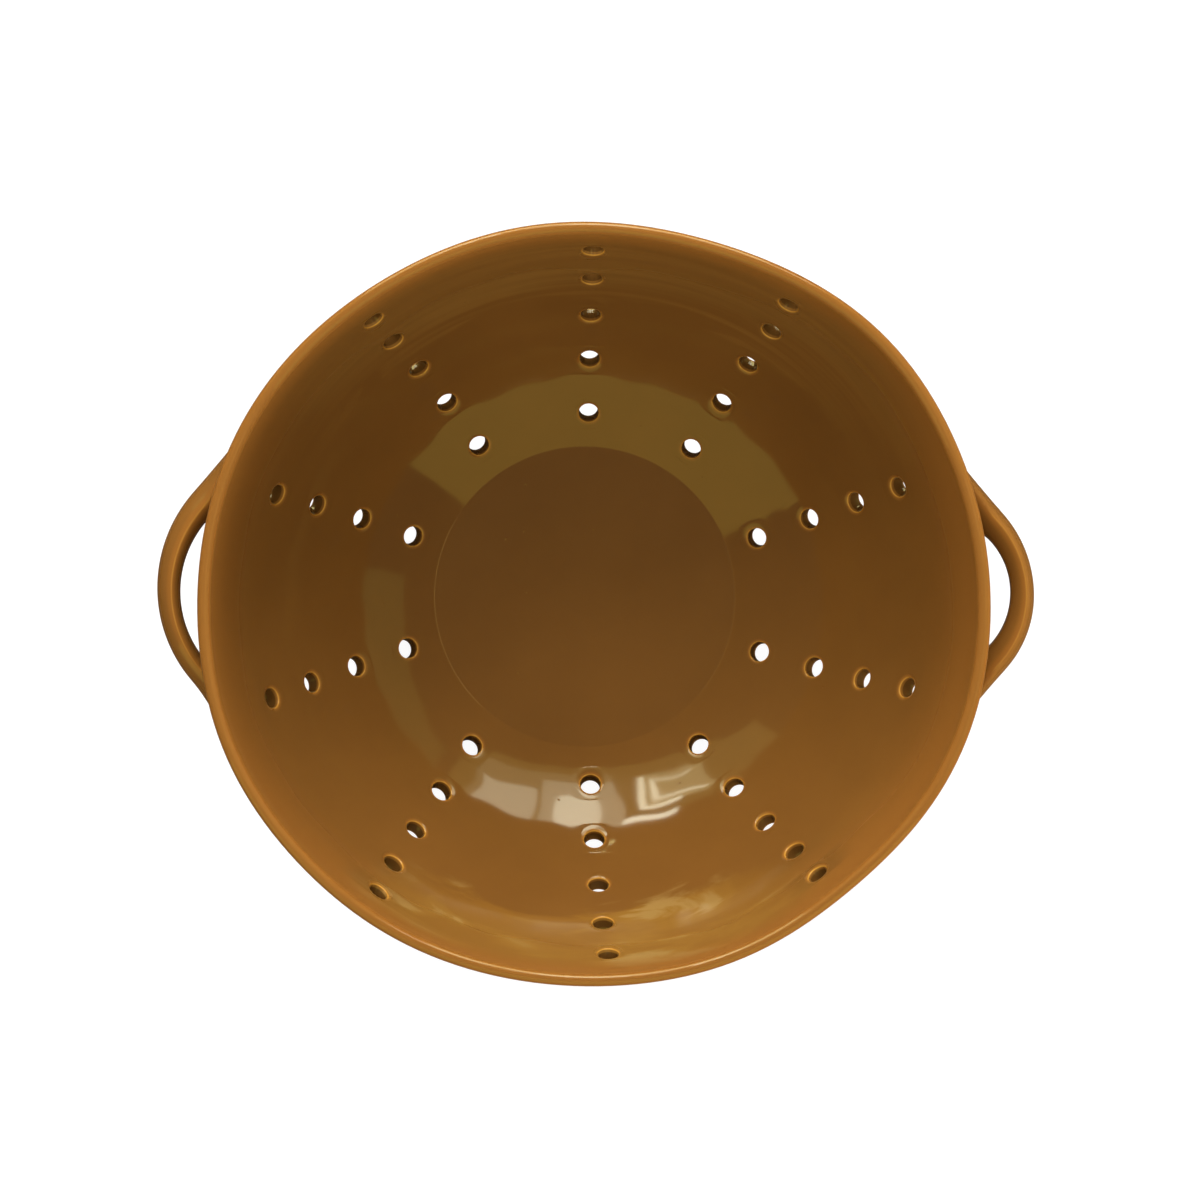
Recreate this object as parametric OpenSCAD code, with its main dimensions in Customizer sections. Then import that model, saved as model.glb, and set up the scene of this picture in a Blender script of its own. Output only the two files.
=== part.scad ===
// Berry colander bowl in glazed stoneware: a hand-formed oval bowl pierced with
// rising columns of drain holes, a turned foot ring, and a loop handle at each end.
// The origin is on the table under the middle of the foot ring, +Z is up and +X
// runs from the left handle to the right one. Lengths are in millimetres.

/* [Bowl] */
// Overall height, from the table to the top of the rim
bowl_h = 95; // [86:1:106]
// Outside diameter of the oval rim along its long axis
rim_long_d = 227; // [215:1:240]
// Outside diameter of the oval rim along its short axis
rim_short_d = 219; // [207:1:232]
// Angle from the handles' axis to the oval's long axis, in degrees
oval_turn = 8; // [0:1:15]
// Lean of the wall from the vertical just under the rim, in degrees
rim_lean = 3; // [2:0.5:6]
// Thickness of the wall just under the lip
rim_t = 4.2; // [3.6:0.1:5.4]
// How much thicker the rounded lip of the rim is than the wall under it
lip_swell = 0.5; // [0.3:0.1:1.2]
// Diameter of the flat floor inside the bowl
floor_d = 92; // [82:1:100]
// Thickness of the floor
floor_t = 5; // [4:0.5:7]
// Reach of the flat underside past the edge of the floor above it
base_out = 2; // [1:0.5:4]

/* [Foot ring] */
// Height of the foot ring
foot_h = 6; // [5:0.5:9]
// Width of the foot ring, from its inside to its outside
foot_w = 6.5; // [5:0.5:9]
// Set-in of the foot ring from the edge of the flat underside
foot_inset = 1.5; // [1:0.5:4]
// Radius of the foot ring's lower edges
foot_round = 1.6; // [0.8:0.2:2.2]

/* [Drain holes] */
// Diameter of a drain hole
hole_d = 6.3; // [5:0.1:7.5]
// Width of the softened edge at both ends of a hole
hole_lip = 0.9; // [0.5:0.1:1.4]
// Columns of holes around the bowl
hole_columns = 10; // [6:2:12]
// Rows of holes in a column
hole_rows = 5; // [3:1:5]
// Rows of holes in a column that meets the root of a handle
handle_rows = 4; // [2:1:4]
// Distance along the wall from the edge of the floor to the first row
first_row = 12; // [10:0.5:14]
// Distance along the wall from one row to the next
row_pitch = 19.2; // [16:0.2:20]

/* [Handles] */
// Thickness of a handle in the middle of its loop, seen from above
handle_w = 6.7; // [5.5:0.1:8]
// Height of a handle's section in the middle of its loop
handle_h = 10.4; // [8:0.2:12]
// Height of a handle's section at the ends of its loop
root_h = 14; // [12:0.5:16]
// How far a handle stands out past the rim
handle_stand = 13.6; // [12:0.2:16]
// Radius of the outer side of a handle's loop
outer_bend_r = 42; // [39:1:46]
// Radius of the inner side of a handle's loop, which thickens it towards its roots
inner_bend_r = 21.5; // [20:0.5:24]
// Shift of both handles along +Y, off the middle of the bowl
handle_shift = 2.5; // [0:0.5:4]
// Depth of the roots of a handle below the top of the rim
handle_drop = 20; // [16:0.5:24]
// Upward tilt of a handle, in degrees
handle_tilt = 8; // [0:1:15]

/* [Hidden] */
$fn = 144;

// Overrun of a cut past the faces that it opens
cut_over = 1;

// How the holes were pierced by hand: the turn of each column from its even place and its
// lean from one row to the next, in degrees, and its rise up the wall as a share of the
// rows' distance. The columns start beside the right handle.
column_turns = [1.5, 1.5, -0.5, -2, -2.5, -2, -0.5, 1.5, 0.5, -0.5];
column_leans = [0.4, 0.5, 0.3, 0.7, 0.3, 0.3, 0.2, 0.3, 0.6, 0.8];
column_rises = [-0.13, -0.05, 0.03, 0.03, -0.08, -0.08, 0, 0.05, -0.03, -0.1];

// The glaze, and the bare clay under the foot ring
glaze_colour = "#8a5a1e";
clay_colour = "#c9b18c";

// The rim as a mean circle, and the scales that draw it out to an oval
rim_r = (rim_long_d + rim_short_d) / 4;
long_scale = rim_long_d / 2 / rim_r;
short_scale = rim_short_d / 2 / rim_r;

// The rounded lip, the floor and the underside
lip_r = (rim_t + lip_swell) / 2;
lip_mid_r = rim_r - lip_r;
lip_z = bowl_h - lip_r;
floor_r = floor_d / 2;
floor_z = foot_h + floor_t;
base_r = floor_r + base_out;

// A wall is one arc in the plane of radius and height. It starts at a low point and
// ends under the rim, where its slope from the horizontal is known.
rim_slope = 90 - rim_lean;
function start_slope(low, high) = 2 * atan2(high.y - low.y, high.x - low.x) - rim_slope;
function arc_r(low, high) = norm(high - low) / 2 / sin((rim_slope - start_slope(low, high)) / 2);
function arc_centre(low, high) = high + arc_r(low, high) * [-sin(rim_slope), cos(rim_slope)];

inside_low = [floor_r, floor_z];
inside_high = [lip_mid_r - rim_t / 2, lip_z];
inside_r = arc_r(inside_low, inside_high);
inside_centre = arc_centre(inside_low, inside_high);
floor_slope = start_slope(inside_low, inside_high);

outside_low = [base_r, foot_h];
outside_high = [lip_mid_r + rim_t / 2, lip_z];
outside_r = arc_r(outside_low, outside_high);
outside_centre = arc_centre(outside_low, outside_high);

// The slope of the inside wall at a hole, and for that slope the point on the mean circle's
// section and the thickness of the wall
function hole_rise(column, row) = first_row + (row + column_rises[column % len(column_rises)]) * row_pitch;
function hole_slope(column, row) = floor_slope + hole_rise(column, row) / inside_r * 180 / PI;
function wall_point(slope) = inside_centre + inside_r * [sin(slope), -cos(slope)];
function wall_at(slope) = outside_r - norm(wall_point(slope) - outside_centre);

// A point of the mean circle's bowl, moved to where the oval bowl has it
function turned(p, angle) =
    [p.x * cos(angle) - p.y * sin(angle), p.x * sin(angle) + p.y * cos(angle), p.z];
function drawn_out(p) = [p.x * long_scale, p.y * short_scale, p.z];
function on_oval(p) = turned(drawn_out(turned(p, -oval_turn)), oval_turn);

hole_r = hole_d / 2;

// Columns stand half a step to each side of a handle
column_step = 360 / hole_columns;
function column_angle(column, row) =
    (column + 0.5) * column_step
    + column_turns[column % len(column_turns)]
    + row * column_leans[column % len(column_leans)];
function beside_handle(column) = abs(sin((column + 0.5) * column_step)) < sin(column_step);
function rows_in(column) = beside_handle(column) ? min(handle_rows, hole_rows) : hole_rows;

// The oval rim's radius along the handles' axis. From it, the middles of the two arcs that
// a handle's loop lies between, and the place on the wall that the loop is tilted about.
rim_reach = 1 / norm([cos(oval_turn) / rim_long_d * 2, sin(oval_turn) / rim_short_d * 2]);
outer_bend_x = rim_reach + handle_stand - outer_bend_r;
inner_bend_x = rim_reach + handle_stand - handle_w - inner_bend_r;
root_x = rim_reach - rim_t;
handle_z = bowl_h - handle_drop;

// The oval rings of points across a loop, each as wide as the arcs are apart there. The
// loop runs on past the wall, which cuts its roots.
ring_sides = 24;
loop_steps = 28;
loop_half = 80;
function ring_corner(ring, side) = ring * ring_sides + side % ring_sides;
function loop_ring(step) =
    let (
        share = 2 * step / loop_steps - 1,
        out = [cos(loop_half * share), sin(loop_half * share)],
        outer = [outer_bend_x, 0] + outer_bend_r * out,
        inner = [inner_bend_x, 0] + inner_bend_r * out,
        half_h = (handle_h + (root_h - handle_h) * share * share) / 2
    ) [
        for (k = [0 : ring_sides - 1])
            let (side = 360 * k / ring_sides)
                let (point = (outer + inner) / 2 + (outer - inner) / 2 * cos(side))
                    [point.x, point.y, half_h * sin(side)]
    ];
loop_rings = [for (step = [0 : loop_steps]) loop_ring(step)];

// What lies within a wall's arc, from a height up to the middle of the lip, as a half section
module within_arc(centre, radius, from_z) {
    intersection() {
        translate(centre) circle(radius);
        translate([0, from_z]) square([rim_r, lip_z - from_z]);
    }
}

// The round lip, as a half section
module lip_section() {
    translate([lip_mid_r, lip_z]) circle(lip_r);
}

// Turns a half section to a bowl and draws the bowl out to the oval of the rim. Each
// half turn is drawn out by itself and the two meet along the oval's long axis.
module oval_turn_of() {
    for (half = [0, 180])
        rotate(oval_turn + half) scale([long_scale, short_scale, 1])
            rotate_extrude(angle = 180) children();
}

// The outside of the bowl, solid through: what a handle is trimmed to
module bowl_envelope() {
    oval_turn_of() {
        within_arc(outside_centre, outside_r, foot_h);
        lip_section();
    }
}

// The formed shell, before it is pierced
module bowl_shell() {
    oval_turn_of() {
        difference() {
            within_arc(outside_centre, outside_r, foot_h);
            within_arc(inside_centre, inside_r, floor_z);
        }
        lip_section();
    }
}

// A softened edge of a hole: a cone that opens towards -Z from the wall's face at z = 0
module eased_edge() {
    wide_r = hole_r + hole_lip + cut_over;
    narrow_r = hole_r / 2;
    translate([0, 0, -cut_over]) cylinder(h = wide_r - narrow_r, r1 = wide_r, r2 = narrow_r);
}

// One hole through a wall that starts at z = 0, with a softened edge at both ends
module pierced_hole(wall) {
    translate([0, 0, -cut_over]) cylinder(h = wall + 2 * cut_over, r = hole_r);
    eased_edge();
    translate([0, 0, wall]) mirror([0, 0, 1]) eased_edge();
}

// The bowl, pierced square to its wall
module bowl() {
    color(glaze_colour) difference() {
        bowl_shell();
        for (column = [0 : hole_columns - 1], row = [0 : rows_in(column) - 1]) {
            angle = column_angle(column, row);
            slope = hole_slope(column, row);
            point = wall_point(slope);
            translate(on_oval([point.x * cos(angle), point.x * sin(angle), point.y]))
                rotate([0, 180 - slope, angle])
                    pierced_hole(wall_at(slope));
        }
    }
}

// The foot ring, which is luted to the flat underside of the bowl
module foot_ring() {
    outer_r = base_r - foot_inset;
    color(clay_colour) rotate_extrude() translate([outer_r - foot_w, 0]) {
        translate([0, foot_round]) square([foot_w, foot_h - foot_round]);
        translate([foot_round, 0]) square([foot_w - 2 * foot_round, foot_round]);
        for (edge = [foot_round, foot_w - foot_round])
            translate([edge, foot_round]) circle(foot_round);
    }
}

// The loop of a handle, from one root round the bend to the other
module handle_loop() {
    last = len(loop_rings) - 1;
    polyhedron(
        points = [for (ring = loop_rings) each ring],
        faces = concat(
            [[for (k = [0 : ring_sides - 1]) k]],
            [[for (k = [ring_sides - 1 : -1 : 0]) last * ring_sides + k]],
            [for (i = [0 : last - 1], k = [0 : ring_sides - 1])
                [ring_corner(i, k), ring_corner(i + 1, k), ring_corner(i, k + 1)]],
            [for (i = [0 : last - 1], k = [0 : ring_sides - 1])
                [ring_corner(i + 1, k), ring_corner(i + 1, k + 1), ring_corner(i, k + 1)]]
        )
    );
}

// A handle on the side that faces the given angle, trimmed to the outside of the bowl
module handle(facing) {
    color(glaze_colour) difference() {
        translate([0, handle_shift, 0]) rotate(facing)
            translate([root_x, 0, handle_z]) rotate([0, -handle_tilt, 0])
                translate([-root_x, 0, 0]) handle_loop();
        bowl_envelope();
    }
}

module left_handle() {
    handle(180);
}

module right_handle() {
    handle(0);
}

bowl();
foot_ring();
left_handle();
right_handle();
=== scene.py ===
import math

import bmesh
import bpy
from mathutils import Matrix, Vector, noise
from mathutils.bvhtree import BVHTree


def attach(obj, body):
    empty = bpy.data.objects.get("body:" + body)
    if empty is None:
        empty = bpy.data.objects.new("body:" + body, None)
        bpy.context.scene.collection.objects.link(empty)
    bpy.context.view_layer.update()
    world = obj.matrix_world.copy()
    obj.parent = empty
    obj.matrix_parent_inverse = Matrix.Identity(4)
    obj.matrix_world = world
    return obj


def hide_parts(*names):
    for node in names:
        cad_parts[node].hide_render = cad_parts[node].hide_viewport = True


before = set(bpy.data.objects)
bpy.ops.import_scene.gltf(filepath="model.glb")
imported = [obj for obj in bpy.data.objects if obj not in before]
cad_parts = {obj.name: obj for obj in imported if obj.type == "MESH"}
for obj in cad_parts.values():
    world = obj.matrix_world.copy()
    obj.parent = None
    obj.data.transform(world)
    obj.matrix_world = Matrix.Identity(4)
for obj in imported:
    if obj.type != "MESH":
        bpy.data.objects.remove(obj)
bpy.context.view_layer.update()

# The bowl. Brown stoneware, turned to a deep round form with a flat floor and a rounded lip,
# then eased a little oval by hand while it was soft. Its half section runs from the middle of
# the floor, up the inside, over the lip and down the outside to the middle of the underside.
floor_z = 0.011
underside_z = 0.006
floor_r = 0.046
floor_radii = (0, 0.011, 0.023, 0.034, 0.0425, 0.0455, floor_r)
floor_corner = 0.0006
underside_radii = (0.0465, 0.038, 0.022, 0)
rim_r = 0.1115
rim_z = 0.095
lip_r = 0.00235
lip_inside = 0.0021
lip_middle = Vector((rim_r - lip_r, 0, rim_z - lip_r))
lip_points = (
    (-0.0017, 0.0006),
    (-0.0012, 0.0017),
    (-0.0003, 0.0024),
    (0.0013, 0.0023),
    (0.0023, 0.0011),
)
lip_thinness = (1.0, 0.92, 0.78, 0.6, 0.42, 0.27, 0.14)
rim_slope = math.radians(87)
wall_foot = Vector((floor_r, 0, floor_z))
wall_top = lip_middle - Vector((lip_inside, 0, 0))
wall_chord = wall_top - wall_foot
floor_slope = 2 * math.atan2(wall_chord.z, wall_chord.x) - rim_slope
wall_r = wall_chord.length / 2 / math.sin((rim_slope - floor_slope) / 2)
wall_middle = wall_top + wall_r * Vector((-math.sin(rim_slope), 0, math.cos(rim_slope)))
foot_thickness = 0.0051
wall_thinning = 0.0009
wall_run = 0.1055
flare_run = 0.0888
lip_flare = 0.0003
first_row = 0.012
row_pitch = 0.0192
row_steps = 3
hole_rows = 5
hole_columns = 10
column_turn = 360 / hole_columns
turn_steps = 50


def wall_out(slope, azimuth=0.0):
    """The direction out through the wall, where the wall has this slope."""
    across = math.sin(slope)
    return Vector((across * math.cos(azimuth), across * math.sin(azimuth), -math.cos(slope)))


def up_the_wall(run):
    """The slope of the wall at a distance up the wall from the edge of the floor."""
    return floor_slope + run / wall_r


def wall_thickness(slope):
    """The wall thins from its foot to its lip."""
    return foot_thickness - wall_thinning * (slope - floor_slope) / (rim_slope - floor_slope)


shell = bmesh.new()
# Each point carries a glaze value: how thin the glaze is over an edge, and at the holes and handles
# also a painted highlight above 1.1 and painted shade below 0.
glaze_break_and_painted_light = shell.verts.layers.float.new("glaze_break_and_painted_light")
on_wall_face = shell.verts.layers.int.new("on_wall_face")
runs = [0.0, first_row / 2]
runs += [first_row + row_pitch / row_steps * step for step in range(hole_rows * row_steps)]
runs += [wall_run]
section = [Vector((r, 0, floor_z)) for r in floor_radii]
section.append(wall_middle + wall_r * wall_out(up_the_wall(floor_corner)))
for run in runs[1:]:
    flare = lip_flare * max((run - flare_run) / (wall_run - flare_run), 0) ** 2
    section.append(wall_middle + (wall_r + flare) * wall_out(up_the_wall(run)))
for across, up in lip_points:
    section.append(lip_middle + Vector((across, 0, up)))
for run in reversed(runs):
    slope = up_the_wall(run)
    section.append(wall_middle + (wall_r + wall_thickness(slope)) * wall_out(slope))
section += [Vector((r, 0, underside_z)) for r in underside_radii]
chain = [shell.verts.new(point) for point in section]
lip_start = len(floor_radii) + len(runs)
lip_end = lip_start + len(lip_points)
for vert in chain[lip_start:lip_end]:
    vert[glaze_break_and_painted_light] = 1.0
for below, glaze_value in enumerate(lip_thinness, 1):
    chain[lip_start - below][glaze_break_and_painted_light] = glaze_value
    chain[lip_end - 1 + below][glaze_break_and_painted_light] = glaze_value**2
inside_wall = chain[len(floor_radii) + 1 : lip_start - 1]
outside_wall = chain[lip_end + 1 : -len(underside_radii) - 2]
for vert in inside_wall + outside_wall:
    vert[on_wall_face] = 1
for low, high in zip(chain, chain[1:]):
    shell.edges.new((low, high))
bmesh.ops.spin(
    shell,
    geom=shell.verts[:] + shell.edges[:],
    cent=(0, 0, 0),
    axis=(0, 0, 1),
    angle=math.tau,
    steps=turn_steps,
    use_merge=True,
)
bmesh.ops.rotate(
    shell,
    verts=shell.verts,
    cent=(0, 0, 0),
    matrix=Matrix.Rotation(math.radians(column_turn / 2), 3, "Z"),
)
bmesh.ops.remove_doubles(shell, verts=shell.verts, dist=1e-5)
bmesh.ops.recalc_face_normals(shell, faces=shell.faces)

# The drain holes. A thin tube was pushed through the soft wall in ten columns of five, or four
# beside a handle, more level in the upper rows. Each edge was wiped round and has thin glaze; the
# inside edge also has a paler ring of painted highlight, and each tunnel is darkened with painted
# shade.
# A column has a turn in degrees, a lean in degrees for each row and a rise in millimetres.
column_turns = [1, 0.5, -1, -1, -1.5, -2, -1.5, 1.5, 1.5, 0.5]
column_leans = [0.5, 0.8, 0.3, 0.5, 0, 0.4, 0.5, 0.3, 0.3, 0.5]
column_rises = [-1.6, -1.4, -0.7, -0.5, -1.3, -0.6, 0.1, 0.4, -0.1, -1.2]
rows_taller = (0, 0, 0, 0, 0.0009)
tallest_mouth = 0.0060
back_rows_higher = (0, 0, 0.0010, 0.0009, 0.0009)
front_rows_higher = (0, 0, 0.0003, 0.0009, 0.0009)
corner_turn = math.radians(45)
ring_inset = 0.0004
# Each ring of a mouth has a radius, a depth in the wall and a glaze value: its thinness, with a
# painted highlight above 1.1 and painted shade below 0.
inside_rings = [
    (0.00560, 0.0, 0.0),
    (0.00425, 0.0, 0.0),
    (0.00370, 0.00002, 1.2),
    (0.00346, 0.00018, 1.8),
    (0.00330, 0.00065, -0.25),
]
outside_rings = [
    (0.00530, 0.0, 0.0),
    (0.00365, 0.00003, 0.7),
    (0.00308, 0.00040, -0.25),
]


def nearest_vert(verts, point):
    """The vertex that lies nearest to a point."""
    return min(verts, key=lambda vert: (vert.co - point).length_squared)


def softened_mouth(vert, azimuth, slope, depth, rings, taller, higher=0.0):
    """Opens the wall round a vertex, or a little higher, to a round or taller mouth with a soft
    edge, inside the wall at a depth of nothing, or outside it at that of its thickness."""
    out = wall_out(slope, azimuth)
    around = Vector((-math.sin(azimuth), math.cos(azimuth), 0))
    rise = out.cross(around)
    into = out if depth == 0 else -out
    middle = vert.co + rise * higher
    wide = Vector((middle.x, middle.y, 0)).length * math.tau / turn_steps
    tall = row_pitch / row_steps
    mouth = bmesh.ops.dissolve_faces(shell, faces=vert.link_faces[:])["region"][0]
    for radius, sink, glaze_value in rings:
        bmesh.ops.inset_individual(shell, faces=[mouth], thickness=ring_inset)
        reach = radius + min(taller, tallest_mouth - radius)
        for corner in mouth.verts:
            spoke = corner.co - middle
            place = math.atan2(spoke.dot(rise) / tall, spoke.dot(around) / wide)
            place = round(place / corner_turn) * corner_turn
            flat = middle + radius * math.cos(place) * around + reach * math.sin(place) * rise
            spread = Vector((flat.x, flat.y, 0)).length
            there = Vector((spread - wall_middle.x, 0, flat.z - wall_middle.z)).length
            corner.co = flat + out * (wall_r + depth - there) + into * sink
            # The ring's glaze value paints thin glaze, a painted highlight above 1.1 and painted shade
            # below 0.
            corner[glaze_break_and_painted_light] = glaze_value
            corner[on_wall_face] = int(sink == 0)
        wide = radius
        tall = reach
    return mouth


hole_places = []
for column in range(hole_columns):
    azimuth = math.radians((column + 0.5) * column_turn)
    beside_handle = abs(math.sin(azimuth)) < 0.5
    rows_higher = back_rows_higher if azimuth < math.pi else front_rows_higher
    for row in range(hole_rows - 1 if beside_handle else hole_rows):
        slope = up_the_wall(first_row + row * row_pitch)
        out = wall_out(slope, azimuth)
        turned_middle = Vector(
            (wall_middle.x * math.cos(azimuth), wall_middle.x * math.sin(azimuth), wall_middle.z)
        )
        inside = nearest_vert(shell.verts, turned_middle + wall_r * out)
        outside = nearest_vert(shell.verts, turned_middle + (wall_r + wall_thickness(slope)) * out)
        hole_places.append((azimuth, slope, inside, outside, rows_taller[row], rows_higher[row]))
for azimuth, slope, inside, outside, taller, higher in hole_places:
    depth = wall_thickness(slope)
    mouths = [
        softened_mouth(inside, azimuth, slope, 0, inside_rings, taller),
        softened_mouth(outside, azimuth, slope, depth, outside_rings, taller, higher),
    ]
    mouth_edges = [edge for mouth in mouths for edge in mouth.edges]
    bmesh.ops.delete(shell, geom=mouths, context="FACES_ONLY")
    bmesh.ops.bridge_loops(shell, edges=mouth_edges)

# The hand in the bowl. The soft pot was squeezed to an oval that is turned a little from the
# handles, its rim was pushed in and out by thumb and finger, and the columns of holes drift.
oval_turn = math.radians(8)
long_scale = 227 / 223
short_scale = 219 / 223
even_sag = 0.0005
middle_sag = 0.0014
middle_sag_run = 0.060
middle_sag_spread = 0.018
rise_ends = (0.09, 0.104)
oval_levels = (0.02, 0.065)
wall_margin = 0.001
floor_margin = 0.0002
rim_waver = 0.0005
wall_unevenness = 0.00012
# Each press has a place and a spread in degrees, and goes out by millimetres.
rim_presses = [
    (44, 17, 1.3),
    (73, 18, -1.2),
    (104, 16, 0.65),
    (148, 24, 1.5),
    (203, 15, 1.0),
    (240, 18, 0.7),
    (290, 14, 0.8),
    (312, 12, -0.9),
    (337, 20, 1.4),
]
round_up = 3 / (2 + math.cos(math.tau / turn_steps))


def eased(value, low, high):
    """How far a value has come from one bound to the other, eased at both ends."""
    share = min(max((value - low) / (high - low), 0), 1)
    return share * share * (3 - 2 * share)


def between_columns(azimuth, strays):
    """What the columns stray by on either side of an azimuth, eased from one to the next."""
    place = (math.degrees(azimuth) / column_turn - 0.5) % hole_columns
    column = int(place)
    share = eased(place - column, 0, 1)
    return strays[column] + (strays[(column + 1) % hole_columns] - strays[column]) * share


def hand_formed(point, fullness):
    """Where the finished bowl has a point of the evenly turned one."""
    radius = math.hypot(point.x, point.y)
    azimuth = math.atan2(point.y, point.x)
    depth = math.hypot(radius - wall_middle.x, wall_middle.z - point.z)
    slope = math.atan2(radius - wall_middle.x, wall_middle.z - point.z)
    run = (slope - floor_slope) * wall_r
    row = min(max((run - first_row) / row_pitch, 0), hole_rows - 1)
    on_wall = eased(radius, 0.03, floor_r)
    past_floor = depth > wall_r - wall_margin and radius > floor_r + floor_margin
    if past_floor and point.z < lip_middle.z:
        rise = 0.001 * between_columns(azimuth, column_rises)
        from_middle = (run - middle_sag_run) / middle_sag_spread
        rise -= even_sag + middle_sag * math.exp(-(from_middle**2))
        slope += rise / wall_r * eased(run, 0, first_row * 0.9) * (1 - eased(run, *rise_ends))
        radius = wall_middle.x + depth * math.sin(slope)
        point = Vector((point.x, point.y, wall_middle.z - depth * math.cos(slope)))
    lift = min(max((point.z - floor_z) / (rim_z - floor_z), 0), 1)
    drift = between_columns(azimuth, column_turns) + row * between_columns(azimuth, column_leans)
    azimuth += math.radians(drift) * on_wall
    push = 0
    for place, spread, press in rim_presses:
        away = (math.degrees(azimuth) - place + 180) % 360 - 180
        push += press * math.exp(-((away / spread) ** 2))
    radius = radius * fullness + 0.001 * push * lift**1.5
    squeeze = eased(point.z, *oval_levels)
    along = radius * math.cos(azimuth - oval_turn) * (1 + (long_scale - 1) * squeeze)
    across = radius * math.sin(azimuth - oval_turn) * (1 + (short_scale - 1) * squeeze)
    around = Vector((math.cos(azimuth), math.sin(azimuth), 0))
    waver = noise.noise(around * 1.7) * rim_waver * lift**4
    formed = Matrix.Rotation(oval_turn, 3, "Z") @ Vector((along, across, point.z + waver))
    uneven = noise.noise(formed * 18 + Vector((3.1, 0.4, 7.7))) * wall_unevenness * on_wall
    return formed + wall_out(max(min(slope, rim_slope), 0), azimuth) * uneven


for vert in shell.verts:
    vert.co = hand_formed(vert.co, 1 if vert[on_wall_face] else round_up)
# The points of the wall stand proud so that the smoothed skin passes through their places.
wall_points = {vert: vert.co.copy() for vert in shell.verts if vert[on_wall_face]}
for _ in range(6):
    strays = {}
    for vert, wanted in wall_points.items():
        sides = len(vert.link_edges)
        beside = sum((edge.other_vert(vert).co for edge in vert.link_edges), Vector())
        across = sum((loop.link_loop_next.link_loop_next.vert.co for loop in vert.link_loops), Vector())
        smoothed = (sides**2 * vert.co + 4 * beside + across) / (sides * (sides + 5))
        strays[vert] = wanted - smoothed
    for vert, stray in strays.items():
        vert.co += stray
bmesh.ops.recalc_face_normals(shell, faces=shell.faces)


def fired_piece(name, form):
    """A piece with a smooth skin, from its form in clay."""
    mesh = bpy.data.meshes.new(name)
    form.to_mesh(mesh)
    form.free()
    mesh.shade_smooth()
    piece = bpy.data.objects.new(name, mesh)
    bpy.context.scene.collection.objects.link(piece)
    rounding = piece.modifiers.new("rounding", "SUBSURF")
    rounding.levels = 2
    rounding.render_levels = 2
    return piece


bowl = fired_piece("glazed_bowl", shell)
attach(bowl, "root")
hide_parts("bowl")

# The glaze. A glossy amber-brown dip, amber where it breaks over an edge, with soft mottling, a
# few pinholes and the faint rings of turning. The rims of the holes and the ridges of the handles
# are paler, partly with thin glaze and partly with a painted highlight, and the tunnels of the
# holes and the inner sides of the handles are deep brown with painted shade. Paler runs below
# the rim at the front and at the back are thinner glaze and a painted reflection.
thick_tones = ((0.3, (0.160, 0.0665, 0.0121)), (0.72, (0.186, 0.0780, 0.0142)))
broken_tone = (0.248, 0.096, 0.0158)
# A paler amber, partly very thin glaze and partly a painted highlight on the rims of the holes and the
# ridges of the handles.
thin_glaze_and_glint_tone = (0.56, 0.270, 0.036)
# A deep brown of painted shade, for the tunnels of the holes and the inner sides of the handles.
painted_shade_tone = (0.062, 0.026, 0.005)
# Pale tones of thinner glaze and of a painted reflection of the light in front of the bowl, and fainter
# streaks at the back, also thinner glaze and a painted reflection.
front_runs_and_reflection_tones = (
    (0.46, (0.218, 0.096, 0.0150)),
    (0.56, (0.250, 0.119, 0.0185)),
    (0.60, (0.300, 0.172, 0.044)),
)
back_runs_and_reflection_tones = (
    (0.38, (0.178, 0.075, 0.0136)),
    (0.52, (0.196, 0.085, 0.0156)),
    (0.66, (0.216, 0.097, 0.018)),
)


def ranged(tree, value, span, limits=(0, 1), smooth=False):
    """A value carried from a span to the given limits, eased at both ends where it is smooth."""
    node = tree.nodes.new("ShaderNodeMapRange")
    node.interpolation_type = "SMOOTHSTEP" if smooth else "LINEAR"
    for name, setting in zip(("From Min", "From Max", "To Min", "To Max"), (*span, *limits)):
        node.inputs[name].default_value = setting
    tree.links.new(value, node.inputs["Value"])
    return node.outputs["Result"]


def reckoned(tree, operation, *values):
    """What an operation makes of values, each of them a socket or a plain number."""
    node = tree.nodes.new("ShaderNodeMath")
    node.operation = operation
    for socket, value in zip(node.inputs, values):
        if isinstance(value, bpy.types.NodeSocket):
            tree.links.new(value, socket)
        else:
            socket.default_value = value
    return node.outputs[0]


def stretched(tree, place, stretch):
    """A place with each of its axes stretched."""
    node = tree.nodes.new("ShaderNodeVectorMath")
    node.operation = "MULTIPLY"
    node.inputs[1].default_value = stretch
    tree.links.new(place, node.inputs[0])
    return node.outputs["Vector"]


def mottled(tree, place, scale, **settings):
    """Soft noise at a place, with settings by the names of the noise's inputs."""
    node = tree.nodes.new("ShaderNodeTexNoise")
    node.inputs["Scale"].default_value = scale
    for name, setting in settings.items():
        node.inputs[name].default_value = setting
    tree.links.new(place, node.inputs["Vector"])
    return node.outputs["Fac"]


def toned(tree, value, tones):
    """A colour picked by a value from two or three tones."""
    node = tree.nodes.new("ShaderNodeValToRGB")
    elements = node.color_ramp.elements
    if len(tones) == 3:
        elements.new(0.55)
    for element, (position, colour) in zip(elements, tones):
        element.position = position
        element.color = (*colour, 1)
    tree.links.new(value, node.inputs["Fac"])
    return node.outputs["Color"]


def covered(tree, share, under, over):
    """A colour under another that covers a share of it, the other a socket or a plain colour."""
    node = tree.nodes.new("ShaderNodeMix")
    node.data_type = "RGBA"
    tree.links.new(share, node.inputs["Factor"])
    tree.links.new(under, node.inputs["A"])
    if isinstance(over, bpy.types.NodeSocket):
        tree.links.new(over, node.inputs["B"])
    else:
        node.inputs["B"].default_value = (*over, 1)
    return node.outputs["Result"]


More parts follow.
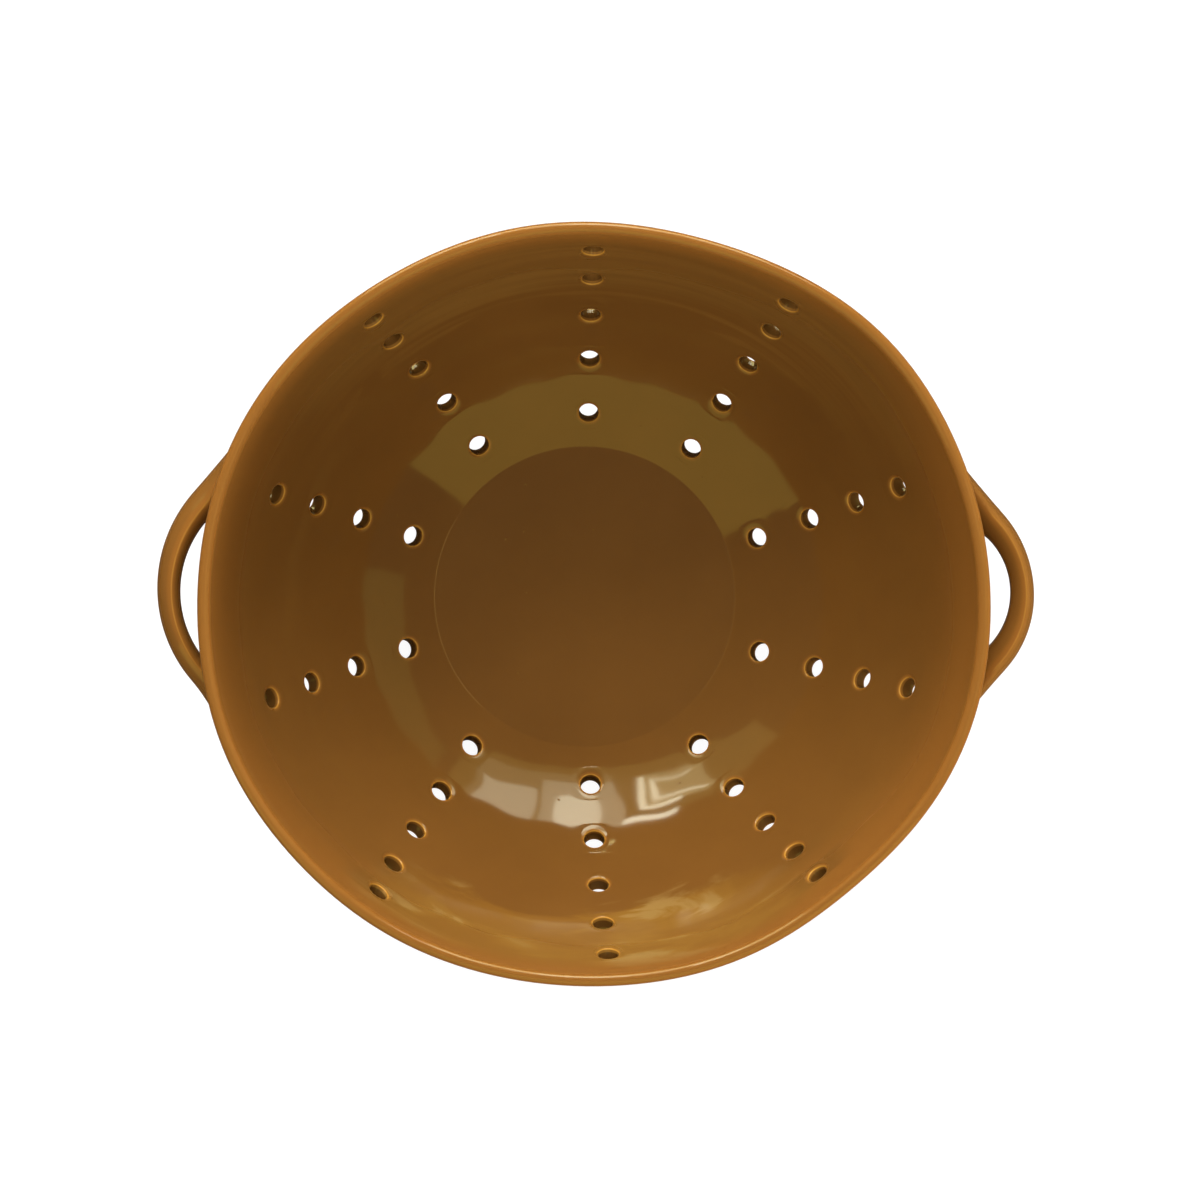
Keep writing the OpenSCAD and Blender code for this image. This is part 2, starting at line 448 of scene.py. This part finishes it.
glaze_look = bpy.data.node_groups.new("amber_glaze_look", "ShaderNodeTree")
glaze_look.interface.new_socket("Break and painted light", in_out="INPUT", socket_type="NodeSocketFloat")
glaze_look.interface.new_socket("Colour", in_out="OUTPUT", socket_type="NodeSocketColor")
glaze_look.interface.new_socket("Roughness", in_out="OUTPUT", socket_type="NodeSocketFloat")
glaze_look.interface.new_socket("Height", in_out="OUTPUT", socket_type="NodeSocketFloat")
glaze_value = glaze_look.nodes.new("NodeGroupInput").outputs["Break and painted light"]
given = glaze_look.nodes.new("NodeGroupOutput")
place = glaze_look.nodes.new("ShaderNodeTexCoord").outputs["Object"]
clouds = mottled(glaze_look, place, 22, Detail=4, Roughness=0.55)
grain = mottled(glaze_look, place, 900, Detail=2)
frayed = reckoned(glaze_look, "MULTIPLY_ADD", grain, 0.15, glaze_value)
edge_share = ranged(glaze_look, frayed, (0.12, 1.07), smooth=True)
# Above a glaze value of 1.1 the colour turns to the paler amber of a painted highlight.
thin_glaze_and_glint_share = ranged(glaze_look, glaze_value, (1.1, 1.7))
# Below a glaze value of 0 the colour turns to painted shade.
painted_shade_share = ranged(glaze_look, glaze_value, (0, -0.3))
colour = toned(glaze_look, clouds, thick_tones)
colour = covered(glaze_look, edge_share, colour, broken_tone)
colour = covered(glaze_look, thin_glaze_and_glint_share, colour, thin_glaze_and_glint_tone)
colour = covered(glaze_look, painted_shade_share, colour, painted_shade_tone)
glaze_look.links.new(colour, given.inputs["Colour"])
sheen = ranged(glaze_look, clouds, (0, 1), (0.05, 0.09))
glaze_look.links.new(sheen, given.inputs["Roughness"])
swell = mottled(glaze_look, place, 60, Detail=1)
pinholes = glaze_look.nodes.new("ShaderNodeTexVoronoi")
pinholes.inputs["Scale"].default_value = 130
glaze_look.links.new(place, pinholes.inputs["Vector"])
pit = ranged(glaze_look, pinholes.outputs["Distance"], (0.02, 0.05), (-1.2, 0))
glaze_look.links.new(reckoned(glaze_look, "ADD", swell, pit), given.inputs["Height"])


def glaze_material(name, depth):
    """A glazed surface with the shared look, less sharp where it is seen edge on. The depth is
    that of its uneven skin, in metres. The nodes that read its glaze value, which is its thinness
    with painted highlight and painted shade, and its look and bump come with it."""
    material = bpy.data.materials.new(name)
    material.use_nodes = True
    tree = material.node_tree
    shader = tree.nodes["Principled BSDF"]
    shader.inputs["Specular Tint"].default_value = (1, 0.93, 0.55, 1)
    thin = tree.nodes.new("ShaderNodeAttribute")
    thin.attribute_name = "glaze_break_and_painted_light"
    look = tree.nodes.new("ShaderNodeGroup")
    look.node_tree = glaze_look
    tree.links.new(thin.outputs["Fac"], look.inputs["Break and painted light"])
    tree.links.new(look.outputs["Colour"], shader.inputs["Base Color"])
    view_angle = tree.nodes.new("ShaderNodeLayerWeight")
    edge_on = ranged(tree, view_angle.outputs["Facing"], (0.46, 0.62), (0, 0.24), smooth=True)
    softer = reckoned(tree, "ADD", look.outputs["Roughness"], edge_on)
    tree.links.new(softer, shader.inputs["Roughness"])
    bump = tree.nodes.new("ShaderNodeBump")
    bump.inputs["Distance"].default_value = depth
    tree.links.new(look.outputs["Height"], bump.inputs["Height"])
    tree.links.new(bump.outputs["Normal"], shader.inputs["Normal"])
    return material, thin, look, bump


bowl_glaze, bowl_thin, bowl_look, bowl_bump = glaze_material("bowl_glaze", 0.00005)
bowl_tree = bowl_glaze.node_tree
place = bowl_tree.nodes.new("ShaderNodeTexCoord").outputs["Object"]
levels = bowl_tree.nodes.new("ShaderNodeSeparateXYZ")
bowl_tree.links.new(place, levels.inputs["Vector"])
spread = bowl_tree.nodes.new("ShaderNodeVectorMath")
spread.operation = "LENGTH"
bowl_tree.links.new(stretched(bowl_tree, place, (1, 1, 0)), spread.inputs[0])
beyond = reckoned(bowl_tree, "SUBTRACT", spread.outputs["Value"], wall_middle.x)
below = reckoned(bowl_tree, "SUBTRACT", wall_middle.z, levels.outputs["Z"])
wall_slope = reckoned(bowl_tree, "ARCTAN2", beyond, below)
on_wheel = bowl_tree.nodes.new("ShaderNodeCombineXYZ")
bowl_tree.links.new(levels.outputs["X"], on_wheel.inputs["X"])
bowl_tree.links.new(levels.outputs["Y"], on_wheel.inputs["Y"])
bowl_tree.links.new(wall_slope, on_wheel.inputs["Z"])
wheel_place = on_wheel.outputs["Vector"]
turning = mottled(bowl_tree, stretched(bowl_tree, wheel_place, (3, 3, 12)), 1, Detail=1)
high_up = ranged(bowl_tree, wall_slope, (0.68, 0.86), (0.4, 2.0), smooth=True)
ridged = reckoned(bowl_tree, "MULTIPLY_ADD", turning, high_up, bowl_look.outputs["Height"])
wiped_rim = ranged(bowl_tree, wall_slope, (1.05, 1.30), (1, 0), smooth=True)
skin = reckoned(bowl_tree, "MULTIPLY", ridged, wiped_rim)
bowl_tree.links.new(skin, bowl_bump.inputs["Height"])
streaks = mottled(bowl_tree, stretched(bowl_tree, wheel_place, (14, 14, 30)), 1, Detail=3)
patch_place = stretched(bowl_tree, wheel_place, (24, 24, 7))
patches = mottled(bowl_tree, patch_place, 1, Detail=5, Distortion=0.8)
wavy_edge = reckoned(bowl_tree, "MULTIPLY_ADD", patches, 0.35, wall_slope)


def runs_and_painted_reflection(pattern, tones, edge, behind):
    """Mixes paler runs, of thinner glaze and of painted reflection, into the wall below the rim,
    above an uneven edge, on the side of the bowl that lies beyond the given distances behind its
    middle."""
    share = ranged(bowl_tree, wavy_edge, (edge, edge + 0.05), smooth=True)
    on_side = ranged(bowl_tree, levels.outputs["Y"], behind, smooth=True)
    below_lip = ranged(bowl_tree, wall_slope, (1.47, 1.36))
    past_holes = ranged(bowl_tree, bowl_thin.outputs["Fac"], (-0.15, 0))
    past_edges = ranged(bowl_tree, bowl_thin.outputs["Fac"], (1.35, 0.95))
    for limit in (on_side, below_lip, past_holes, past_edges):
        share = reckoned(bowl_tree, "MULTIPLY", share, limit)
    base = bowl_tree.nodes["Principled BSDF"].inputs["Base Color"]
    tone = toned(bowl_tree, pattern, tones)
    bowl_tree.links.new(covered(bowl_tree, share, base.links[0].from_socket, tone), base)


# Thinner glaze and painted reflection, in runs at the front and in streaks at the back.
runs_and_painted_reflection(patches, front_runs_and_reflection_tones, 1.18, (-0.075, -0.093))
runs_and_painted_reflection(streaks, back_runs_and_reflection_tones, 1.10, (0.035, 0.080))
bowl.data.materials.append(bowl_glaze)

# The foot ring. A turned ring of the same clay, luted under the floor, glazed on its sides and
# wiped bare along the flat that stands on the table so that it didn't stick to the kiln shelf.
foot_steps = 48
bare_tones = ((0.35, (0.33, 0.22, 0.13)), (0.6, (0.55, 0.42, 0.28)))
foot_section = [
    (0.0478, 0.0063),
    (0.0468, 0.0052),
    (0.0466, 0.0028),
    (0.0459, 0.0006),
    (0.0446, 0),
    (0.0433, 0),
    (0.0420, 0),
    (0.0406, 0.0006),
    (0.0399, 0.0028),
    (0.0398, 0.0052),
    (0.0388, 0.0063),
    (0.0433, 0.0070),
]
foot = bmesh.new()
ring = [foot.verts.new((r, 0, z)) for r, z in foot_section]
for here, there in zip(ring, ring[1:] + ring[:1]):
    foot.edges.new((here, there))
bmesh.ops.spin(
    foot,
    geom=foot.verts[:] + foot.edges[:],
    cent=(0, 0, 0),
    axis=(0, 0, 1),
    angle=math.tau,
    steps=foot_steps,
    use_merge=True,
)
bmesh.ops.remove_doubles(foot, verts=foot.verts, dist=1e-6)
bmesh.ops.recalc_face_normals(foot, faces=foot.faces)
foot_piece = fired_piece("turned_foot", foot)
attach(foot_piece, "root")
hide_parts("foot_ring")
foot_clay = bpy.data.materials.new("foot_clay")
foot_clay.use_nodes = True
foot_tree = foot_clay.node_tree
shader = foot_tree.nodes["Principled BSDF"]
place = foot_tree.nodes.new("ShaderNodeTexCoord").outputs["Object"]
height = foot_tree.nodes.new("ShaderNodeSeparateXYZ")
foot_tree.links.new(place, height.inputs["Vector"])
wander = mottled(foot_tree, place, 70)
wiped = reckoned(foot_tree, "MULTIPLY_ADD", wander, -0.0016, height.outputs["Z"])
glazed = ranged(foot_tree, wiped, (0.0004, 0.0007))
grog = mottled(foot_tree, place, 1400, Detail=4)
bare = toned(foot_tree, grog, bare_tones)
look = foot_tree.nodes.new("ShaderNodeGroup")
look.node_tree = glaze_look
look.inputs["Break and painted light"].default_value = 0.2
coat = covered(foot_tree, glazed, bare, look.outputs["Colour"])
foot_tree.links.new(coat, shader.inputs["Base Color"])
gloss = ranged(foot_tree, glazed, (0, 1), (0.85, 0.08))
foot_tree.links.new(gloss, shader.inputs["Roughness"])
bump = foot_tree.nodes.new("ShaderNodeBump")
bump.inputs["Distance"].default_value = 0.00008
foot_tree.links.new(grog, bump.inputs["Height"])
foot_tree.links.new(bump.outputs["Normal"], shader.inputs["Normal"])
foot_piece.data.materials.append(foot_clay)

# The loop handles. A strap pulled from a lump of wet clay, bent to a loop and pressed on to the
# wall below the rim at both its roots, which were smoothed out along the wall with a thumb.
handle_h = 0.0104
root_h = 0.0135
bend_r = 0.033
loop_tip = 0.12697
root_x = 0.10811
root_z = 0.075
handle_shift = 0.0025
handle_tilt = math.radians(8)
bend_half = math.radians(46)
strap_sides = 12
strap_pinch = 0.36
crest_crease = 0.8
loop_steps = 12
root_swell = 0.18
ray_start = 0.14
ray_length = 0.06
# Each step of a root goes a share of the way to the wall, and sinks into it.
root_steps = ((0.36, 0.0), (0.72, 0.0), (1.0, 0.0002), (1.0, 0.0016))
strap_up = 3 / (2 + math.cos(math.tau / strap_sides))
bowl_skin = BVHTree.FromObject(bowl, bpy.context.evaluated_depsgraph_get())
handle_glaze = glaze_material("handle_glaze", 0.00004)[0]


def loop_handle(name, facing, width, further, aside, sway, outer_bends, inner_bend, roots, ridge):
    """A loop that stands out from the bowl to the given angle, seated on the bowl's wall. It
    was set a little further out and aside than its fellow, as each was put on by eye. Each
    half has an outer bend of its own, each root was spread between two places, and its ridge
    lies beside the middle of the strap."""
    loop = bmesh.new()
    painted_handle_shading = loop.verts.layers.float.new("glaze_break_and_painted_light")
    outward = loop.verts.layers.float.new("outward")
    upward = loop.verts.layers.float.new("upward")
    strap = bmesh.ops.create_circle(loop, segments=strap_sides, radius=1)["verts"]
    for vert in strap:
        rise = max(vert.co.y, 0)
        vert[outward] = vert.co.x * (1 - strap_pinch * rise**4 * (1 - rise**8)) + ridge * rise**3
        vert[upward] = vert.co.y
        # The glaze value paints light on the strap: a painted highlight along the ridge, a lighter
        # outer side and painted shade on the inner side.
        vert[painted_handle_shading] = 0.36 + 0.95 * rise**20 if vert.co.x > -0.1 else 0.4 * rise - 0.18
    bmesh.ops.scale(loop, vec=(width / 2, handle_h / 2, 1), verts=strap)
    stood_up = Matrix.Rotation(math.radians(90), 3, "X")
    bmesh.ops.rotate(loop, cent=(0, 0, 0), matrix=stood_up, verts=strap)
    bmesh.ops.translate(loop, vec=(bend_r, 0, 0), verts=strap)
    swung_back = Matrix.Rotation(-bend_half, 3, "Z")
    bmesh.ops.rotate(loop, cent=(0, 0, 0), matrix=swung_back, verts=strap)
    bmesh.ops.spin(
        loop,
        geom=loop.verts[:] + loop.edges[:],
        cent=(0, 0, 0),
        axis=(0, 0, 1),
        angle=2 * bend_half,
        steps=loop_steps,
    )
    crease = loop.edges.layers.float.new("crease_edge")
    for edge in loop.edges:
        edge[crease] = crest_crease if min(vert[upward] for vert in edge.verts) > 0.99 else 0
    root_edges = {}
    for end in (-1, 1):
        root_edges[end] = [
            edge for edge in loop.edges if edge.is_boundary and edge.verts[0].co.y * end > 0
        ]
    for vert in loop.verts:
        turn = math.atan2(vert.co.y, vert.co.x)
        outer_bend = outer_bends[int(turn > 0)]
        outer_x = loop_tip - outer_bend * (1 - math.cos(turn))
        inner_x = loop_tip - width - inner_bend * (1 - math.cos(turn))
        outer = Vector((outer_x, outer_bend * math.sin(turn) + sway, 0))
        inner = Vector((inner_x, inner_bend * math.sin(turn), 0))
        swell = 1 + root_swell * (turn / bend_half) ** 2
        height = handle_h / 2 * swell * strap_up * vert[upward]
        vert.co = (outer + inner) / 2 + (outer - inner) / 2 * strap_up * vert[outward]
        vert.co.z = height
    set_on = Matrix.Translation((0, handle_shift + aside, 0)) @ Matrix.Rotation(facing, 4, "Z")
    inward = set_on.to_3x3() @ Vector((-1, 0, 0))
    seat = (
        set_on
        @ Matrix.Translation((root_x + further, 0, root_z))
        @ Matrix.Rotation(-handle_tilt, 4, "Y")
        @ Matrix.Translation((-root_x, 0, 0))
    )
    bmesh.ops.transform(loop, matrix=seat, verts=loop.verts)
    for end, (near, far) in zip((-1, 1), roots):
        ends = root_edges[end]
        starts = {vert: vert.co.copy() for edge in ends for vert in edge.verts}
        for share, sink in root_steps:
            grown = bmesh.ops.extrude_edge_only(loop, edges=ends)["geom"]
            verts = [item for item in grown if isinstance(item, bmesh.types.BMVert)]
            edges = [item for item in grown if isinstance(item, bmesh.types.BMEdge)]
            ends = [edge for edge in edges if edge.is_boundary]
            follows = {}
            for vert in verts:
                before = [edge.other_vert(vert) for edge in vert.link_edges]
                follows[vert] = next(starts[other] for other in before if other in starts)
            starts = follows
            for vert, start in starts.items():
                along = end * ((near + far) / 2 + (far - near) / 2 * strap_up * vert[outward])
                height = root_z + root_h / 2 * strap_up * vert[upward]
                spot = set_on @ Vector((ray_start, along, height))
                place, normal, _, _ = bowl_skin.ray_cast(spot, inward, ray_length)
                vert.co = start.lerp(place, share) - normal * sink
                # The painted light and shade fade towards the wall.
                vert[painted_handle_shading] *= 1 - 0.7 * share
        bmesh.ops.contextual_create(loop, geom=ends)
    bmesh.ops.recalc_face_normals(loop, faces=loop.faces)
    loop.verts.layers.float.remove(upward)
    loop.verts.layers.float.remove(loop.verts.layers.float["outward"])
    piece = fired_piece(name, loop)
    piece.data.materials.append(handle_glaze)
    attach(piece, "root")
    return piece


right_loop = loop_handle(
    "right_loop",
    facing=0,
    width=0.0070,
    further=0.0016,
    aside=0.0003,
    sway=-0.0008,
    outer_bends=(0.0323, 0.0361),
    inner_bend=0.0223,
    roots=((0.0190, 0.0402), (0.0200, 0.0468)),
    ridge=0.36,
)
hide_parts("right_handle")
left_loop = loop_handle(
    "left_loop",
    facing=math.pi,
    width=0.0067,
    further=-0.0008,
    aside=0.0009,
    sway=-0.0010,
    outer_bends=(0.0420, 0.0415),
    inner_bend=0.0310,
    roots=((0.0238, 0.0550), (0.0228, 0.0565)),
    ridge=-0.1,
)
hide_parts("left_handle")

# The table. A wide white sweep that the bowl stands on, which shows white past the rim and
# through the drain holes and keeps a soft shadow.
table_reach = 6
table = bmesh.new()
bmesh.ops.create_grid(table, x_segments=1, y_segments=1, size=table_reach)
table_mesh = bpy.data.meshes.new("white_table")
table.to_mesh(table_mesh)
table.free()
table_piece = bpy.data.objects.new("white_table", table_mesh)
bpy.context.scene.collection.objects.link(table_piece)
table_white = bpy.data.materials.new("table_white")
table_white.use_nodes = True
nodes, links = table_white.node_tree.nodes, table_white.node_tree.links
nodes.remove(nodes["Principled BSDF"])
path = nodes.new("ShaderNodeLightPath")
shown = nodes.new("ShaderNodeMath")
shown.operation = "MAXIMUM"
links.new(path.outputs["Is Camera Ray"], shown.inputs[0])
links.new(path.outputs["Is Transmission Ray"], shown.inputs[1])
paper = nodes.new("ShaderNodeBsdfDiffuse")
paper.inputs["Color"].default_value = (0.5, 0.5, 0.5, 1)
dull = nodes.new("ShaderNodeBsdfDiffuse")
dull.inputs["Color"].default_value = (0.06, 0.03, 0.01, 1)
unseen = nodes.new("ShaderNodeMixShader")
links.new(path.outputs["Is Glossy Ray"], unseen.inputs["Fac"])
links.new(paper.outputs[0], unseen.inputs[1])
links.new(dull.outputs[0], unseen.inputs[2])
shade = nodes.new("ShaderNodeBsdfDiffuse")
shade.inputs["Color"].default_value = (0.2, 0.2, 0.2, 1)
glow = nodes.new("ShaderNodeEmission")
glow.inputs["Strength"].default_value = 0.88
lit = nodes.new("ShaderNodeAddShader")
links.new(shade.outputs[0], lit.inputs[0])
links.new(glow.outputs[0], lit.inputs[1])
kind = nodes.new("ShaderNodeMixShader")
links.new(shown.outputs[0], kind.inputs["Fac"])
links.new(unseen.outputs[0], kind.inputs[1])
links.new(lit.outputs[0], kind.inputs[2])
links.new(kind.outputs[0], nodes["Material Output"].inputs["Surface"])
table_mesh.materials.append(table_white)

# The light. A bright window in panes behind the bowl, a large warm reflector in front of it,
# a pale wall at its right, two soft beams overhead, plain fills that show no reflection, and a
# dark room all round.
daylight = (1.0, 1.05, 1.35)
beam_warmth = (1, 0.70, 0.28)
window_y = 1.13
room = bpy.data.worlds.new("dark_room")
room.use_nodes = True
bpy.context.scene.world = room
nodes, links = room.node_tree.nodes, room.node_tree.links
dark = nodes["Background"]
dark.inputs["Color"].default_value = (1, 1, 1, 1)
dark.inputs["Strength"].default_value = 0.08
white = nodes.new("ShaderNodeBackground")
white.inputs["Color"].default_value = (1, 1, 1, 1)
white.inputs["Strength"].default_value = 1
path = nodes.new("ShaderNodeLightPath")
pick = nodes.new("ShaderNodeMixShader")
links.new(path.outputs["Is Camera Ray"], pick.inputs["Fac"])
links.new(dark.outputs[0], pick.inputs[1])
links.new(white.outputs[0], pick.inputs[2])
links.new(pick.outputs[0], nodes["World Output"].inputs["Surface"])


def light_panel(name, middle, width, height, facing, radiance, colour=(1, 1, 1)):
    """A flat panel of light with its middle at a point of the room, facing a direction."""
    panel = bpy.data.lights.new(name, "AREA")
    panel.shape = "RECTANGLE"
    panel.size = width
    panel.size_y = height
    panel.energy = radiance * math.pi * width * height
    panel.color = colour
    lamp = bpy.data.objects.new(name, panel)
    bpy.context.scene.collection.objects.link(lamp)
    lamp.location = middle
    lamp.rotation_euler = Vector(facing).to_track_quat("-Z", "Y").to_euler()
    lamp.visible_camera = False
    return lamp


def window_light(name, left, right, foot, top, radiance, nearness=0.0, colour=(1, 1, 1)):
    """A pane of the window, or a part of one that is brighter, upright behind the bowl."""
    middle = ((left + right) / 2, window_y - nearness, (foot + top) / 2)
    return light_panel(name, middle, right - left, top - foot, (0, -1, 0), radiance, colour)


front_sheen = light_panel(
    "front_reflector", (-0.20, -0.6, 1.19), 2.0, 1.82, (0, 1, 0), 1.1, (1, 0.84, 0.22)
)
front_sheen.visible_diffuse = False
front_fill = light_panel("front_fill", (-0.20, -0.65, 1.10), 2.2, 2.0, (0, 1, 0), 0.4)
front_fill.visible_glossy = False
for side, level in enumerate((1.0, 2.0, 0.5, 3.0)):
    around = math.radians(90 * side)
    outward = Vector((math.cos(around), math.sin(around), 0))
    low_middle = outward * 1.5 + Vector((0, 0, 0.42))
    low_fill = light_panel(f"low_fill_{side}", low_middle, 3.0, 0.5, -outward, level)
    low_fill.visible_glossy = False
window_light("window_glow", -1.55, 0.98, 0.50, 1.28, 0.9, 0, (1, 0.88, 0.35))
window_light("window_broad_pane", -0.15, 0.80, 0.47, 1.14, 1.0, 0.01)
window_light("window_left_pane", -0.15, 0.30, 0.46, 1.02, 2.3, 0.02, daylight)
window_light("window_right_pane", 0.33, 0.72, 0.47, 0.90, 3.4, 0.02, daylight)
window_light("window_bright_pane", -0.02, 0.22, 0.46, 0.86, 5.6, 0.03, daylight)
window_light("window_small_pane", -0.76, -0.25, 0.66, 1.06, 3.0, 0.01, (1, 0.95, 0.8))
window_light("window_frame_side", -0.37, -0.33, 0.75, 0.95, 10.0, 0.02, daylight)
window_light("window_frame_edge", -0.29, -0.24, 0.68, 1.02, 10.0, 0.02, daylight)
window_light("window_frame_top", -0.64, -0.33, 0.945, 0.985, 5.0, 0.02, daylight)
window_light("window_frame_foot", -0.70, -0.33, 0.715, 0.75, 8.0, 0.02, daylight)
window_light("window_frame_sill", -0.50, -0.24, 0.64, 0.68, 12.0, 0.02, daylight)
window_light("window_sill_light", -0.46, -0.13, 0.50, 0.57, 14.0, 0.02, daylight)
low_pane = window_light("window_low_pane", -0.75, 0.55, 0.10, 0.45, 8.0, 0, (1, 0.94, 0.62))
low_pane.visible_diffuse = False
right_wall = light_panel(
    "right_wall", (1.0, 0.42, 0.545), 1.16, 0.61, (-1, 0, 0), 0.42, (0.95, 1, 0.34)
)
right_wall.visible_diffuse = False
for name, side, radiance in (("right_beam", 1, 2.6), ("left_beam", -1, 1.0)):
    beam_middle = (side * 0.62, 0.10, 1.6)
    beam_facing = (-side * 0.36, 0, -1)
    beam = light_panel(name, beam_middle, 0.9, 0.3, beam_facing, radiance, beam_warmth)
    beam.visible_diffuse = False
right_low = light_panel("right_low_fill", (1.1, -0.55, 0.10), 2.0, 0.20, (-1, 0.5, 0), 16.0)
right_low.visible_glossy = False
soft_key = light_panel("soft_key", (-0.21, 1.03, 0.63), 1.62, 0.80, (0.18, -0.86, -0.48), 3.4)
soft_key.visible_glossy = False
overhead = light_panel("overhead_fill", (0, 0, 1.6), 1.3, 1.3, (0, 0, -1), 2.35)
overhead.visible_glossy = False

# The camera. It looks almost straight down into the bowl from well above, as the photograph
# was taken, with the two handles level.
view_target = Vector((0.0013, 0.0013, 0.0930))
view_distance = 1.15
lean_left = math.radians(2.3)
lean_back = math.radians(1.6)
view_from = Vector((-math.sin(lean_left), math.sin(lean_back), 1)).normalized()
eye = bpy.data.cameras.new("overhead_camera")
eye.sensor_width = 36
eye.lens = 120.7
camera = bpy.data.objects.new("overhead_camera", eye)
bpy.context.scene.collection.objects.link(camera)
view_right = Vector((0, 1, 0)).cross(view_from).normalized()
view_up = view_from.cross(view_right)
view_frame = Matrix((view_right, view_up, view_from)).transposed().to_4x4()
camera.matrix_world = Matrix.Translation(view_target + view_from * view_distance) @ view_frame
bpy.context.scene.camera = camera
bpy.context.scene.view_settings.view_transform = "Standard"
